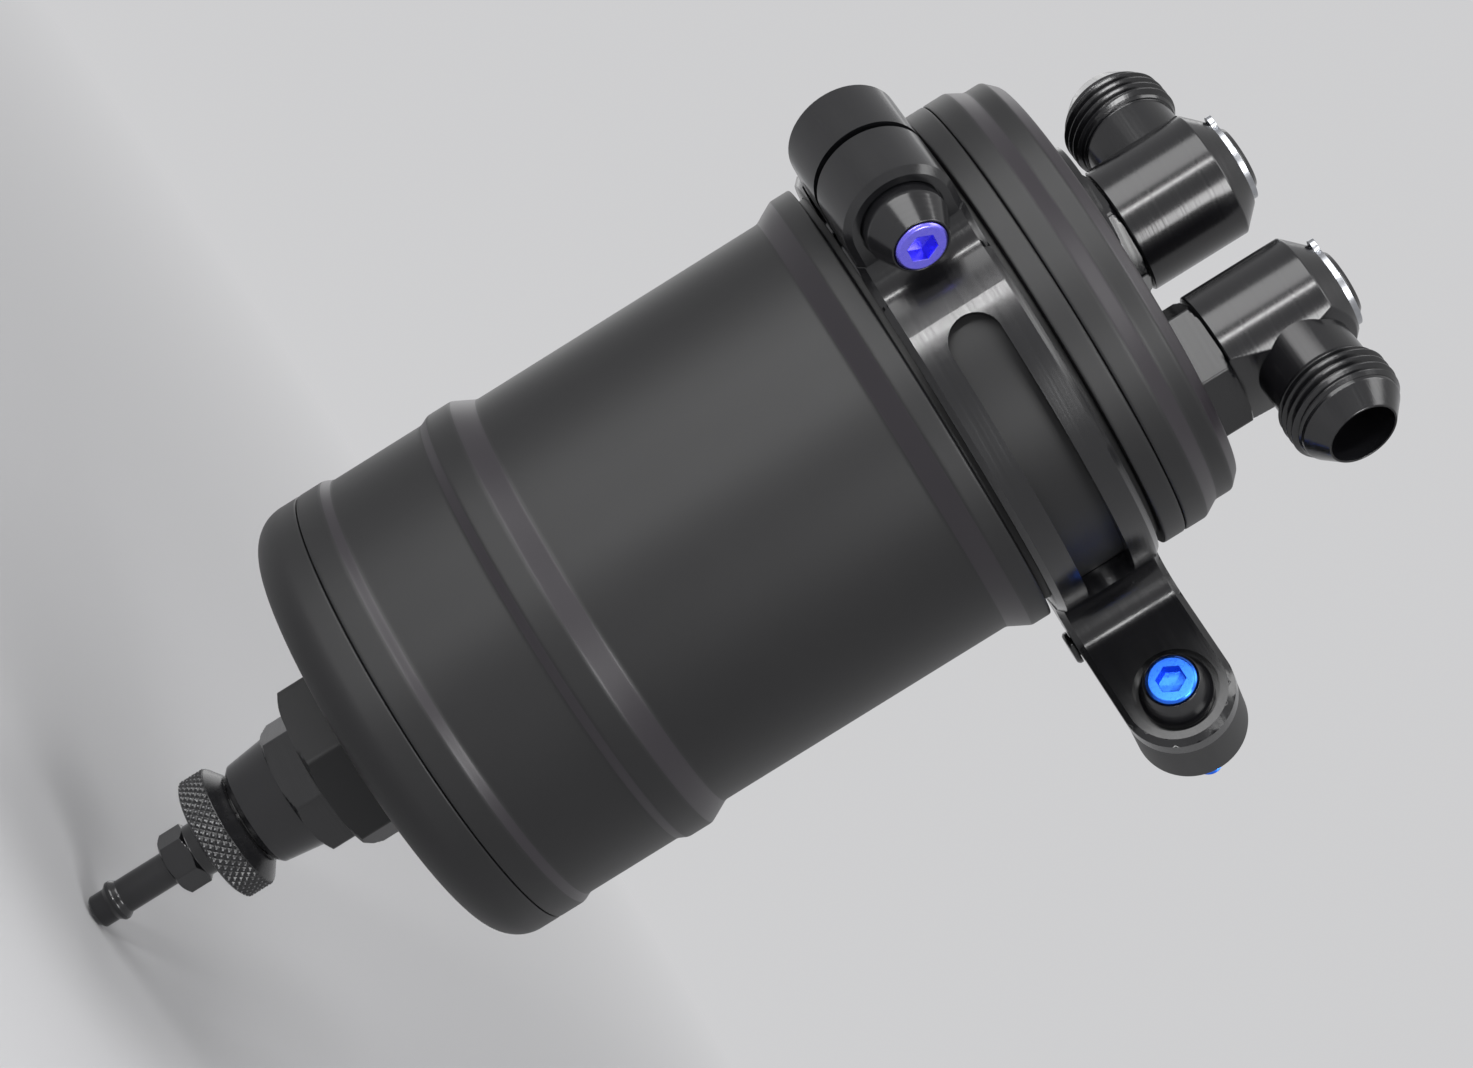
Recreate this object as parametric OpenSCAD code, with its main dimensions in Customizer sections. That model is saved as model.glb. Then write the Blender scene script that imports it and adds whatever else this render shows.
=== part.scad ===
// Oil catch can with a split band bracket, two swivelling flare elbows and a drain valve.
// Every module works in can coordinates: the can's axis is Z and zero is the seam
// between the body and the bottom cap. seated() then moves the piece into the part's
// own frame, whose origin lies between the two bracket screws in the wall plane.

/* [Can body] */
// Height from the bottom seam to the lid seam
body_h = 137.4; // [120:0.1:180]
// Outer diameter of the plain tube
body_d = 88.6; // [84:0.1:96]
// How far the four raised rings stand out from the tube
ring_rise = 2.3; // [1.6:0.1:3.2]
// How far the foot between the two lower rings stands out from the tube
foot_rise = 1.4; // [0.4:0.1:1.5]
// Height of the bottom ring
foot_ring_h = 5.2; // [3:0.1:8]
// Height of the lower edge of the second ring
belt_z = 28.6; // [22:0.1:34]
// Width of the second ring
belt_h = 5.0; // [3:0.1:7]
// Width of the shoulder's ring below the neck
shoulder_ring_h = 4.2; // [3:0.1:8]
// Height of the neck that the band grips
neck_h = 24.6; // [23.4:0.1:30]
// Depth of the neck below the tube's surface
neck_step = 0.5; // [0.2:0.1:0.8]
// Height of the collar above the neck
collar_h = 4.6; // [3.5:0.1:8]
// Wall of the tube
wall = 3.0; // [2:0.1:4]
// Radial depth of the ledge that carries the baffle plate
ledge = 1.0; // [0.6:0.1:1.4]

/* [Lid and bottom cap] */
// Height of the lid's outer rim
lid_rim_h = 4.6; // [3:0.1:7]
// Height of the lid from its seam to its top face
lid_h = 13.6; // [12.5:0.1:16]
// How far the lid's upper step stands in from its rim
lid_step = 1.85; // [1:0.05:3.5]
// Depth of the threaded spigots of lid and cap
spigot_h = 9.0; // [7:0.1:11]
// Wall of the threaded spigots
spigot_wall = 4.0; // [3:0.1:6]
// Radial gap of the spigot threads
spigot_gap = 0.2; // [0.1:0.05:0.3]
// Height of the bottom cap below its seam
cap_h = 11.7; // [11:0.1:14]
// Radius of the bottom cap's rounded corner
cap_corner = 7.6; // [5:0.1:8]
// Cord radius of the lid's and the cap's seal rings
seal_r = 1.05; // [0.8:0.05:1.2]

/* [Swivel ports] */
// Radius of the circle that the ports stand on
port_circle_r = 22.8; // [22:0.1:24]
// Direction of the first port from the can's axis
port_turn = 19.5; // [0:0.5:90]
// Direction that the first elbow points to
elbow_b_dir = -8.5; // [-30:0.5:10]
// Direction that the second elbow points to
elbow_a_dir = 171.5; // [160:0.5:190]
// Radius of the swivel post
post_r = 7.0; // [6.6:0.1:7.2]
// Running clearance between the post and the elbow
swivel_gap = 0.05; // [0.03:0.01:0.08]
// Width across the flats of the hexagon under each elbow
stem_flats = 24.2; // [22:0.1:25]
// Height of that hexagon
stem_hex_h = 8.0; // [6:0.1:10]
// Radius of the thread that holds each stem in the lid
stem_thread_r = 9.0; // [8:0.1:10]
// Radius of the hole through each stem
stem_bore_r = 4.4; // [3.5:0.1:4.8]
// Radius of the elbow's upright barrel
elbow_r = 13.3; // [12.8:0.1:13.6]
// Height of the upright barrel with its top chamfer
elbow_h = 24.9; // [24.6:0.1:28]
// Chamfer at the top of the upright barrel
elbow_chamfer = 4.0; // [2:0.1:5]
// Height of the flare's axis above the elbow's foot
flare_z = 12.8; // [12:0.1:13.2]
// Distance of the flare's tip from the swivel axis
flare_reach = 31.5; // [30:0.1:32]
// Major radius of the flare thread
flare_thread_r = 11.1; // [10.6:0.05:11.3]
// Length of the flare thread
flare_thread_h = 8.0; // [6:0.1:9]
// Radius of the neck behind the thread and of the land before it
flare_neck_r = 9.6; // [9.2:0.1:10.2]
// Radius of the hole through the flare
flare_bore_r = 6.5; // [5:0.1:6.6]
// Thickness of the circlips on the posts
circlip_h = 1.2; // [1:0.1:1.4]

/* [Inside] */
// Depth of the baffle plate's underside below the lid seam
baffle_depth = 45.4; // [41:0.1:57]
// Thickness of the baffle plate
baffle_h = 2.0; // [1.5:0.1:3]
// Radius of the holes in the baffle plate
baffle_hole_r = 2.2; // [1.5:0.1:2.4]
// Height of the mesh pad on the baffle plate
mesh_h = 16; // [10:0.5:20]
// Outer radius of the inlet's drop tube
drop_r = 5.4; // [5.2:0.1:5.6]
// Length of the drop tube below the lid's underside
drop_h = 68; // [60:0.5:80]

/* [Bracket band] */
// Width of the band with its bevels
band_w = 21.8; // [21.4:0.1:22.4]
// Thickness of the band
band_t = 3.9; // [3.5:0.1:4.2]
// Bevel along the band's edges
band_bevel = 1.2; // [0.8:0.1:1.4]
// Radial gap between the band and the neck
band_gap = 0.2; // [0.1:0.05:0.3]
// Width of the slot in the front of the band
slot_w = 10; // [6:0.5:12]
// Angle from the clamp barrel's axis to the start of the slot
slot_start = 32.2; // [29:0.1:45]
// Angle between the end of the slot and the lug's hollow corner
slot_stop = 5.0; // [5:0.5:11]
// Distance of the bracket screws beyond the band's outer face
lug_reach = 14.3; // [13.2:0.1:17]
// How far the lugs' front faces lie short of the rear of the band
lug_drop = 13.4; // [12.4:0.1:13.9]
// Thickness of the lugs
lug_t = 4.5; // [4:0.1:5]
// Hollow corner between the band and the lugs
lug_fillet = 6.5; // [4:0.1:7]
// Length of the spacers behind the lugs
spacer_l = 13.5; // [12.5:0.1:20]
// Radius of the spacers
spacer_r = 11.0; // [9:0.1:11.4]
// Radius of the bracket screws and the clamp screw
screw_r = 3.0; // [2.5:0.1:3.2]
// Length of the bracket screws under the head
screw_l = 40; // [34:0.5:45]
// Length of the bracket screws' plain shank between the head and the thread
screw_plain_l = 18; // [16:0.5:24]
// Clearance of the screws in their holes
screw_gap = 0.25; // [0.1:0.05:0.4]

/* [Clamp barrel] */
// Direction of the clamp barrel from the can's axis
barrel_turn = 257.3; // [250:0.1:262]
// Radius of the clamp barrel
barrel_r = 10.6; // [10:0.1:10.9]
// Height of the barrel's axis above the neck
barrel_rise = 12.4; // [12:0.1:13]
// Length of each half of the barrel
barrel_half = 12.8; // [11:0.1:14]
// Gap between the two halves
barrel_split = 1.5; // [1:0.1:2.5]
// Hollow corner between the barrel's faces and the band
barrel_fillet = 7.0; // [5:0.1:7.5]
// Radius of the hinge pin
hinge_r = 2.0; // [1.5:0.1:2.2]

/* [Drain valve] */
// Width across the flats of the large hexagon
adapter_flats = 32.0; // [28:0.1:34]
// Height of the large hexagon
adapter_h = 12.0; // [10:0.1:14]
// Width across the flats of the valve's hexagon
valve_flats = 24.2; // [22:0.1:25]
// Height of the valve's hexagon
valve_hex_h = 6.9; // [5:0.1:8]
// Length of the valve's tapered barrel
valve_barrel_h = 9.7; // [9:0.1:12]
// Radius of the tapered barrel at its top
valve_top_r = 11.7; // [11.2:0.1:12]
// Radius of the tapered barrel at its foot
valve_foot_r = 10.6; // [10:0.1:11]
// Radius of the neck that the knurled wheel turns on
wheel_neck_r = 8.0; // [7.5:0.1:8.5]
// Radius of the knurled wheel
wheel_r = 12.8; // [12:0.1:14]
// Height of the knurled wheel
wheel_h = 8.1; // [7.6:0.1:10]
// Running clearance of the valve's sliding and turning parts
valve_gap = 0.05; // [0.03:0.01:0.08]
// Lift of the outlet when the wheel is wound open
outlet_lift = 2.5; // [1.5:0.1:2.8]
// Radius of the outlet's sliding collar
outlet_collar_r = 5.4; // [5:0.1:5.6]
// Width across the flats of the outlet's hexagon
outlet_flats = 11.0; // [10:0.1:12]
// Radius of the hose tube
hose_r = 3.4; // [3.2:0.1:3.8]
// Length of the hose tube with its bead
hose_l = 17.2; // [14:0.1:24]
// Radius of the hole through the outlet
outlet_bore_r = 2.0; // [1.5:0.1:2.2]

/* [Hidden] */

$fn = 96;
eps = 0.02;
edge = 0.3;
body_r = body_d / 2;
ring_r = body_r + ring_rise;
foot_r = body_r + foot_rise;
neck_r = body_r - neck_step;
collar_r = ring_r - 0.1;
cavity_r = body_r - wall;
thread_cut = 1.0;
thread_r = cavity_r + thread_cut;
thread_depth = spigot_h + thread_cut;
spigot_r = thread_r - spigot_gap;
edge_h = 1.9;
shoulder_rise = 4.3;
belt_fall = 4.4;
collar_z = body_h - collar_h;
neck_z = collar_z - neck_h;
shoulder_z = neck_z - shoulder_ring_h - shoulder_rise;
band_z = (neck_z + collar_z) / 2;
lid_top = body_h + lid_h;
lid_floor_h = 4.4;
lid_plate_h = lid_rim_h + lid_floor_h;
lid_step_r = collar_r - lid_step;
lid_slope = 3.2;
lid_chamfer = 2.3;
lead_in = 1.5;
seal_gap = 0.05;
seal_inset = 2.6;
seal_ring_r = thread_r - seal_gap - seal_r;
drain_cone = 3.5;
baffle_z = body_h - baffle_depth;
hole_margin = 8.8;
hole_pitch = (cavity_r - ledge - hole_margin) / 3;

port_turns = [port_turn, port_turn + 120, port_turn + 240];
elbow_lift = 0.2;
elbow_z = lid_top + stem_hex_h + elbow_lift;
elbow_top = elbow_z + elbow_h;
post_end = 1.2;
post_top = elbow_top + circlip_h + post_end;
elbow_bore_r = post_r + swivel_gap;
groove_depth = 0.7;
groove_r = post_r - groove_depth;
gallery_depth = 2.3;
gallery_r = post_r + gallery_depth;
gallery_half = 4.2;
cross_hole_r = 3.4;
tube_socket = 4;
post_seal_r = 0.77;
post_seal_ring_r = elbow_bore_r - seal_gap - post_seal_r;
low_seal_inset = 3.2;
high_seal_inset = 3.6;
post_seal_z = [elbow_z + low_seal_inset, elbow_top - high_seal_inset];
stem_thread_gap = 0.1;
stem_seal_r = 0.85;
stem_seal_ring_r = stem_thread_r + stem_thread_gap + stem_seal_r + seal_gap;
stem_recess = 2 * stem_seal_r + 0.15;
plug_flange_h = 2.2;
land_step = 0.35;
thread_chamfer = 1.2;
flare_axis_z = elbow_z + flare_z;
nose_slope = tan(37);
land_end = flare_reach - (flare_neck_r - flare_bore_r) / nose_slope;
land_h = 0.9;
thread_end = land_end - land_h;
thread_start = thread_end - flare_thread_h;
neck_root = 4.0;
face_apex = 13.1;
face_slope = 0.26;

band_in = neck_r + band_gap;
band_out = band_in + band_t;
lug_y = band_out - lug_drop;
wall_y = lug_y + lug_t + spacer_l;
lug_x = band_out + lug_reach;
lug_extra = 0.4;
lug_w = band_w + lug_extra;
corner_turn = asin((lug_y - lug_fillet) / (band_out + lug_fillet));
slot_from = barrel_turn + slot_start;
slot_to = 360 + 2 * round((corner_turn - slot_stop) / 2);
hinge_set = 7.0;
hinge_rise = 10.087;
hinge_y = lug_y + hinge_set;
hinge_x = sqrt(pow(band_out + hinge_rise, 2) - pow(hinge_y, 2));
hinge_turn = atan2(hinge_y, hinge_x);
knuckle_wall = 2.6;
knuckle_r = hinge_r + knuckle_wall;
knuckle_half = 3.5;
hinge_gap = 0.2;
knuckle_gap = 0.4;
knuckle_end = band_w / 2 - 0.1;
arm_inset = 0.5;
pin_gap = 0.05;
pin_head_r = 3.4;
pin_head_h = 1.2;
split_turn = hinge_turn + 0.8;
rear_from = split_turn + 3;
screw_head_r = 4.9;
screw_head_h = 6.0;
head_rise = 0.6;
socket_flats = 5.0;
screw_thread_r = screw_r - 0.2;
washer_base_r = 7.1;
washer_tip_r = 5.4;
pocket_depth = 2.0;
washer_rise = 5.0;
pocket_room = 1.2;
barrel_x = neck_r + barrel_rise;
barrel_face = barrel_half + barrel_split / 2;
barrel_cut = 1.2;
barrel_root = 1.0;
barrel_depth = barrel_x - band_in + barrel_root;
clamp_washer_r = 7.6;
clamp_collar_h = 2.6;
clamp_cone_h = 5.4;
clamp_pocket = 1.0;
clamp_pocket_gap = 0.35;
clamp_screw_l = 24;
clamp_plain_l = 20;

stub_gap = 0.1;
adapter_z = -cap_h - adapter_h;
valve_z = adapter_z - valve_hex_h;
valve_foot_z = valve_z - valve_barrel_h;
wheel_gap = 0.6;
wheel_top = valve_foot_z - wheel_gap;
wheel_bottom = wheel_top - wheel_h;
wheel_neck_h = 4.2;
outlet_hex_h = 5.6;
outlet_hex_top = wheel_bottom - outlet_lift - 1.0;
outlet_hex_z = outlet_hex_top - outlet_hex_h;
hose_tip_z = outlet_hex_z - hose_l;
collar_top = valve_foot_z + 2.5;
stem_rod_r = 2.4;
seat_r = 3.6;
seat_z = valve_z + 4.5;
poppet_z = seat_z + 0.1;
poppet_r = 4.6;
poppet_h = 3.0;
bore_in_valve_r = outlet_collar_r + valve_gap;
chamber_r = 5.6;
adapter_stub_r = 7.5;
adapter_roof = 1.5;
adapter_seal_r = 0.9;
adapter_recess_r = adapter_stub_r + stub_gap + 2 * (adapter_seal_r + seal_gap);
adapter_recess_h = 2 * (adapter_seal_r + seal_gap);
valve_stub_r = chamber_r + 2;
valve_stub_h = 6.5;
spring_wire_r = 0.5;
spring_r = 3.5;
spring_turns = 5;

module seated() {
    translate([0, -wall_y, -band_z]) children();
}

// A prism with six flats, its first corner at the given direction
module hexagon(flats, h, corner_turn) {
    rotate([0, 0, corner_turn]) cylinder(r = flats / 2 / cos(30), h = h, $fn = 6);
}

// A hexagon whose corners are turned off by a cone at its lower end, upper end or both
module turned_hexagon(flats, h, corner_turn, cut, low, high) {
    corner_r = flats / 2 / cos(30) + 0.1;
    intersection() {
        hexagon(flats, h, corner_turn);
        rotate_extrude() polygon([
            [0, 0],
            [low ? corner_r - cut : corner_r, 0],
            [corner_r, low ? cut * 0.6 : 0],
            [corner_r, high ? h - cut * 0.6 : h],
            [high ? corner_r - cut : corner_r, h],
            [0, h]]);
    }
}

module ring(r, cord_r, z) {
    translate([0, 0, z]) rotate_extrude() translate([r, 0]) circle(r = cord_r, $fn = 32);
}

module at_port(turn) {
    rotate([0, 0, turn]) translate([port_circle_r, 0, 0]) rotate([0, 0, -turn]) children();
}

// The tube: turned outside with four rings, a foot and a neck, bored inside with a ledge
module can_body() seated() color("#2b2b2d") {
    difference() {
        rotate_extrude($fn = 180) polygon([
            [0, 0],
            [ring_r - edge, 0],
            [ring_r, edge],
            [ring_r, foot_ring_h],
            [foot_r, foot_ring_h + edge_h],
            [foot_r, belt_z - edge_h],
            [ring_r, belt_z],
            [ring_r, belt_z + belt_h],
            [body_r, belt_z + belt_h + belt_fall],
            [body_r, shoulder_z],
            [ring_r, shoulder_z + shoulder_rise],
            [ring_r, neck_z],
            [neck_r, neck_z],
            [neck_r, collar_z],
            [collar_r, collar_z],
            [collar_r, body_h - edge],
            [collar_r - edge, body_h],
            [0, body_h]]);
        translate([0, 0, -1]) cylinder(r = cavity_r - ledge, h = body_h + 2, $fn = 180);
        translate([0, 0, baffle_z]) cylinder(r = cavity_r, h = body_h, $fn = 180);
        // thread and lead-in for the bottom cap below, and for the lid above
        translate([0, 0, -1]) cylinder(r = thread_r, h = thread_depth + 1, $fn = 180);
        translate([0, 0, -eps])
            cylinder(r1 = thread_r + lead_in, r2 = thread_r, h = lead_in, $fn = 180);
        translate([0, 0, body_h - thread_depth]) cylinder(r = thread_r, h = thread_depth + 1, $fn = 180);
        translate([0, 0, body_h - lead_in + eps])
            cylinder(r1 = thread_r, r2 = thread_r + lead_in, h = lead_in, $fn = 180);
    }
}

module bottom_cap() seated() color("#2b2b2d") {
    difference() {
        union() {
            rotate_extrude($fn = 180) {
                translate([0, -cap_h]) square([ring_r - cap_corner, cap_h]);
                translate([0, cap_corner - cap_h]) square([ring_r, cap_h - cap_corner]);
                intersection() {
                    translate([ring_r - cap_corner, cap_corner - cap_h]) circle(r = cap_corner, $fn = 96);
                    translate([0, -cap_h]) square([ring_r + 1, cap_h]);
                }
            }
            cylinder(r = spigot_r, h = spigot_h);
        }
        // hollow of the spigot, with a shallow cone that drains to the valve
        cylinder(r = spigot_r - spigot_wall, h = spigot_h + 1);
        translate([0, 0, -drain_cone])
            cylinder(r1 = adapter_stub_r, r2 = spigot_r - spigot_wall, h = drain_cone + eps);
        ring(seal_ring_r, seal_r + seal_gap, seal_inset);
        // hole for the drain adapter's stub, with a recess for its seal
        translate([0, 0, -cap_h - 1]) cylinder(r = adapter_stub_r + stub_gap, h = cap_h + 2);
        translate([0, 0, -cap_h - eps]) cylinder(r = adapter_recess_r, h = adapter_recess_h);
    }
}

module cap_seal() seated() color("#101010") {
    ring(seal_ring_r, seal_r, seal_inset);
}

module lid() seated() color("#2b2b2d") {
    difference() {
        union() {
            translate([0, 0, body_h]) rotate_extrude($fn = 180) polygon([
                [0, 0],
                [collar_r - edge, 0],
                [collar_r, edge],
                [collar_r, lid_rim_h],
                [lid_step_r, lid_rim_h + lid_slope],
                [lid_step_r, lid_h - lid_chamfer],
                [lid_step_r - lid_chamfer, lid_h],
                [0, lid_h]]);
            translate([0, 0, body_h - spigot_h]) cylinder(r = spigot_r, h = spigot_h + 1);
        }
        translate([0, 0, body_h - spigot_h - 1])
            cylinder(r = spigot_r - spigot_wall, h = spigot_h + lid_h - lid_plate_h + 1);
        ring(seal_ring_r, seal_r + seal_gap, body_h - seal_inset);
        for (turn = port_turns) at_port(turn) {
            translate([0, 0, body_h - 1]) cylinder(r = stem_thread_r + stem_thread_gap, h = lid_h + 2);
            translate([0, 0, lid_top - stem_recess])
                cylinder(r = stem_seal_ring_r + stem_seal_r + seal_gap, h = stem_recess + 1);
        }
    }
}

module lid_seal() seated() color("#101010") {
    ring(seal_ring_r, seal_r, body_h - seal_inset);
}

// A perforated plate on the body's ledge: rings of holes round the drop tube's own hole
module baffle_plate() seated() color("#b9bcc0") {
    difference() {
        translate([0, 0, baffle_z]) cylinder(r = cavity_r - 0.2, h = baffle_h);
        at_port(port_turns[1]) translate([0, 0, baffle_z - 1]) cylinder(r = drop_r + edge, h = baffle_h + 2);
        for (row = [1:3])
            for (i = [0:row * 6 - 1]) {
                x = row * hole_pitch * cos(i * 60 / row + 15);
                y = row * hole_pitch * sin(i * 60 / row + 15);
                tube_x = port_circle_r * cos(port_turns[1]);
                tube_y = port_circle_r * sin(port_turns[1]);
                if (norm([x - tube_x, y - tube_y]) > drop_r + baffle_hole_r + 1.5)
                    translate([x, y, baffle_z - 1]) cylinder(r = baffle_hole_r, h = baffle_h + 2, $fn = 24);
            }
    }
}

module mesh_pad() seated() color("#9a9da1") {
    difference() {
        translate([0, 0, baffle_z + baffle_h]) cylinder(r = cavity_r - 0.4, h = mesh_h);
        at_port(port_turns[1]) translate([0, 0, baffle_z])
            cylinder(r = drop_r + edge, h = mesh_h + baffle_h + 2);
    }
}

// The tube that leads the inlet below the baffle, cut off at a slant
module drop_tube() seated() color("#b9bcc0") {
    top = lid_top - lid_plate_h;
    at_port(port_turns[1]) difference() {
        translate([0, 0, top - drop_h]) cylinder(r = drop_r, h = drop_h + tube_socket);
        translate([0, 0, top - drop_h - 1]) cylinder(r = drop_r - 1, h = drop_h + tube_socket + 2);
        translate([-drop_r - 1, -drop_r - 1, top - drop_h - drop_r * 2])
            rotate([30, 0, 0]) cube([drop_r * 2 + 2, drop_r * 4, drop_r * 2]);
    }
}

// A stem screwed into the lid: thread, hexagon and the post that an elbow swivels on
module port_stem(turn, hex_turn) {
    post_chamfer = 0.8;
    at_port(turn) difference() {
        union() {
            translate([0, 0, lid_top - lid_plate_h]) cylinder(r = stem_thread_r, h = lid_plate_h);
            translate([0, 0, lid_top]) turned_hexagon(stem_flats, stem_hex_h, hex_turn, 1.4, false, true);
            translate([0, 0, lid_top]) cylinder(r = post_r, h = post_top - lid_top - post_chamfer);
            translate([0, 0, post_top - post_chamfer])
                cylinder(r1 = post_r, r2 = post_r - post_chamfer, h = post_chamfer);
        }
        // bore up to the cross holes, and the drop tube's socket
        translate([0, 0, lid_top - lid_plate_h - 1])
            cylinder(r = stem_bore_r, h = flare_axis_z + gallery_half - lid_top + lid_plate_h + 1);
        translate([0, 0, lid_top - lid_plate_h - 1]) cylinder(r = drop_r + seal_gap, h = tube_socket + 1);
        for (a = [0, 90])
            translate([0, 0, flare_axis_z]) rotate([0, 0, hex_turn + a]) rotate([90, 0, 0])
                cylinder(r = cross_hole_r, h = post_r * 2 + 2, center = true);
        // grooves for the seals and the circlip
        for (z = post_seal_z) ring(post_seal_ring_r, post_seal_r + seal_gap, z);
        translate([0, 0, elbow_top]) difference() {
            cylinder(r = post_r + 1, h = circlip_h + 0.1);
            cylinder(r = groove_r, h = circlip_h * 3, center = true);
        }
    }
}

module port_stem_a() seated() color("#1d1d20") port_stem(port_turns[1], 45);
module port_stem_b() seated() color("#1d1d20") port_stem(port_turns[0], 8);

module stem_seals() seated() color("#101010") {
    for (turn = port_turns)
        at_port(turn) ring(stem_seal_ring_r, stem_seal_r, lid_top - stem_recess + stem_seal_r + seal_gap);
}

module post_seals() seated() color("#101010") {
    for (turn = [port_turns[0], port_turns[1]]) at_port(turn)
        for (z = post_seal_z) ring(post_seal_ring_r, post_seal_r, z);
}

// An elbow: an upright barrel turned about the swivel axis and faced off by a shallow
// cone about the flare's axis, then neck, thread, land and seat turned about that axis
module elbow(turn, dir) {
    at_port(turn) rotate([0, 0, dir]) difference() {
        union() {
            intersection() {
                translate([0, 0, elbow_z]) rotate_extrude() polygon([
                    [0, 0],
                    [elbow_r - edge, 0],
                    [elbow_r, edge],
                    [elbow_r, elbow_h - elbow_chamfer],
                    [elbow_r - elbow_chamfer, elbow_h],
                    [0, elbow_h]]);
                translate([0, 0, flare_axis_z]) rotate([0, 90, 0]) rotate_extrude() polygon([
                    [0, -elbow_r * 2],
                    [elbow_r * 2, -elbow_r * 2],
                    [elbow_r * 2, face_apex - face_slope * elbow_r * 2],
                    [0, face_apex]]);
            }
            translate([0, 0, flare_axis_z]) rotate([0, 90, 0]) rotate_extrude() polygon([
                [0, neck_root],
                [flare_neck_r, neck_root],
                [flare_neck_r, thread_start],
                [flare_thread_r, thread_start + thread_chamfer],
                [flare_thread_r, thread_end - thread_chamfer],
                [flare_neck_r + land_step, thread_end],
                [flare_neck_r + land_step, land_end],
                [flare_bore_r + land_step, flare_reach],
                [0, flare_reach]]);
        }
        translate([0, 0, elbow_z - 1]) cylinder(r = elbow_bore_r, h = elbow_h + 2);
        translate([0, 0, flare_axis_z]) cylinder(r = gallery_r, h = gallery_half * 2, center = true);
        translate([0, 0, flare_axis_z]) rotate([0, 90, 0]) cylinder(r = flare_bore_r, h = flare_reach + 1);
    }
}

module elbow_a() seated() color("#1b1b1f") elbow(port_turns[1], elbow_a_dir);
module elbow_b() seated() color("#1b1b1f") elbow(port_turns[0], elbow_b_dir);

// An open spring ring with two eyes, in the post's groove
module circlip(turn, open_turn) {
    gap = 34;
    eye_turn = gap / 2 + 8;
    eye_r = groove_r + 2.4;
    at_port(turn) rotate([0, 0, open_turn]) translate([0, 0, elbow_top + swivel_gap]) difference() {
        union() {
            rotate([0, 0, gap / 2]) rotate_extrude(angle = 360 - gap)
                translate([groove_r + swivel_gap, 0]) square([2.1, circlip_h]);
            for (side = [-1, 1])
                rotate([0, 0, side * eye_turn]) translate([eye_r, 0, 0])
                    cylinder(r = 1.7, h = circlip_h, $fn = 32);
        }
        for (side = [-1, 1])
            rotate([0, 0, side * eye_turn]) translate([eye_r, 0, -1])
                cylinder(r = 0.75, h = circlip_h + 2, $fn = 24);
    }
}

module circlip_a() seated() color("#d4d6da") circlip(port_turns[1], 205);
module circlip_b() seated() color("#d4d6da") circlip(port_turns[0], 205);

// A flush plug with a hexagon socket closes the third port
module port_plug() seated() color("#1d1d20") {
    at_port(port_turns[2]) difference() {
        union() {
            translate([0, 0, lid_top - lid_plate_h]) cylinder(r = stem_thread_r, h = lid_plate_h);
            translate([0, 0, lid_top])
                cylinder(r1 = stem_thread_r + 3.2, r2 = stem_thread_r + 2.2, h = plug_flange_h);
        }
        translate([0, 0, lid_top - 4]) hexagon(10, 10, 15);
    }
}

// A stretch of the band: an arc whose outer edges are bevelled
module band_arc(from, to) {
    rotate([0, 0, from]) rotate_extrude(angle = to - from, $fn = 180) polygon([
        [band_in, -band_w / 2],
        [band_out - band_bevel, -band_w / 2],
        [band_out, band_bevel - band_w / 2],
        [band_out, band_w / 2 - band_bevel],
        [band_out - band_bevel, band_w / 2],
        [band_in, band_w / 2]]);
}

// An upright round cutter whose ends flare, so that it leaves bevelled edges
module flared_cutter(r, width) {
    half = width / 2 - band_bevel;
    translate([0, 0, -half - eps]) cylinder(r = r, h = 2 * half + 2 * eps);
    for (side = [0, 1]) mirror([0, 0, side]) translate([0, 0, half])
        cylinder(r1 = r, r2 = r + band_bevel * 1.2, h = band_bevel * 1.2);
}

// A flat lug that leaves the band through a hollow corner and ends in a half round
module lug() {
    centre_y = lug_y - lug_fillet;
    centre_x = sqrt(pow(band_out + lug_fillet, 2) - pow(centre_y, 2));
    start_x = band_out * cos(split_turn + 4);
    touch = band_out / (band_out + lug_fillet);
    end_r = lug_w / 2;
    difference() {
        union() {
            // the plate, with bevels along its front edges
            translate([start_x, lug_y, 0]) rotate([90, 0, 90]) linear_extrude(lug_x - start_x) polygon([
                [lug_t, -lug_w / 2],
                [lug_t, lug_w / 2],
                [band_bevel, lug_w / 2],
                [0, lug_w / 2 - band_bevel],
                [0, band_bevel - lug_w / 2],
                [band_bevel, -lug_w / 2]]);
            translate([lug_x, lug_y + band_bevel, 0]) rotate([-90, 0, 0])
                cylinder(r = end_r, h = lug_t - band_bevel);
            translate([lug_x, lug_y, 0]) rotate([-90, 0, 0])
                cylinder(r1 = end_r - band_bevel, r2 = end_r, h = band_bevel + eps);
            // the hollow corner
            difference() {
                linear_extrude(lug_w, center = true) polygon([
                    [centre_x * touch * 0.97, centre_y * touch * 0.97],
                    [centre_x * touch, centre_y * touch],
                    [centre_x, centre_y],
                    [centre_x, lug_y + band_bevel],
                    [start_x, lug_y + band_bevel]]);
                translate([centre_x, centre_y, 0]) flared_cutter(lug_fillet, lug_w);
            }
        }
        // pocket and hole for the washer and the screw
        translate([lug_x, lug_y - 1, 0]) rotate([-90, 0, 0]) {
            cylinder(r = washer_base_r + pocket_room, h = pocket_depth + 1);
            cylinder(r = screw_r + screw_gap, h = lug_t + 2);
        }
    }
}

module at_barrel() {
    rotate([0, 0, barrel_turn]) translate([barrel_x, 0, 0]) children();
}

// A cutter for the far half of the barrel's space, or for the near half, with the split
module barrel_side(from_y) {
    at_barrel() translate([-barrel_depth - band_t, from_y, -band_w])
        cube([barrel_depth + barrel_r + band_t * 2, barrel_half + barrel_split / 2, band_w * 2]);
}

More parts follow.
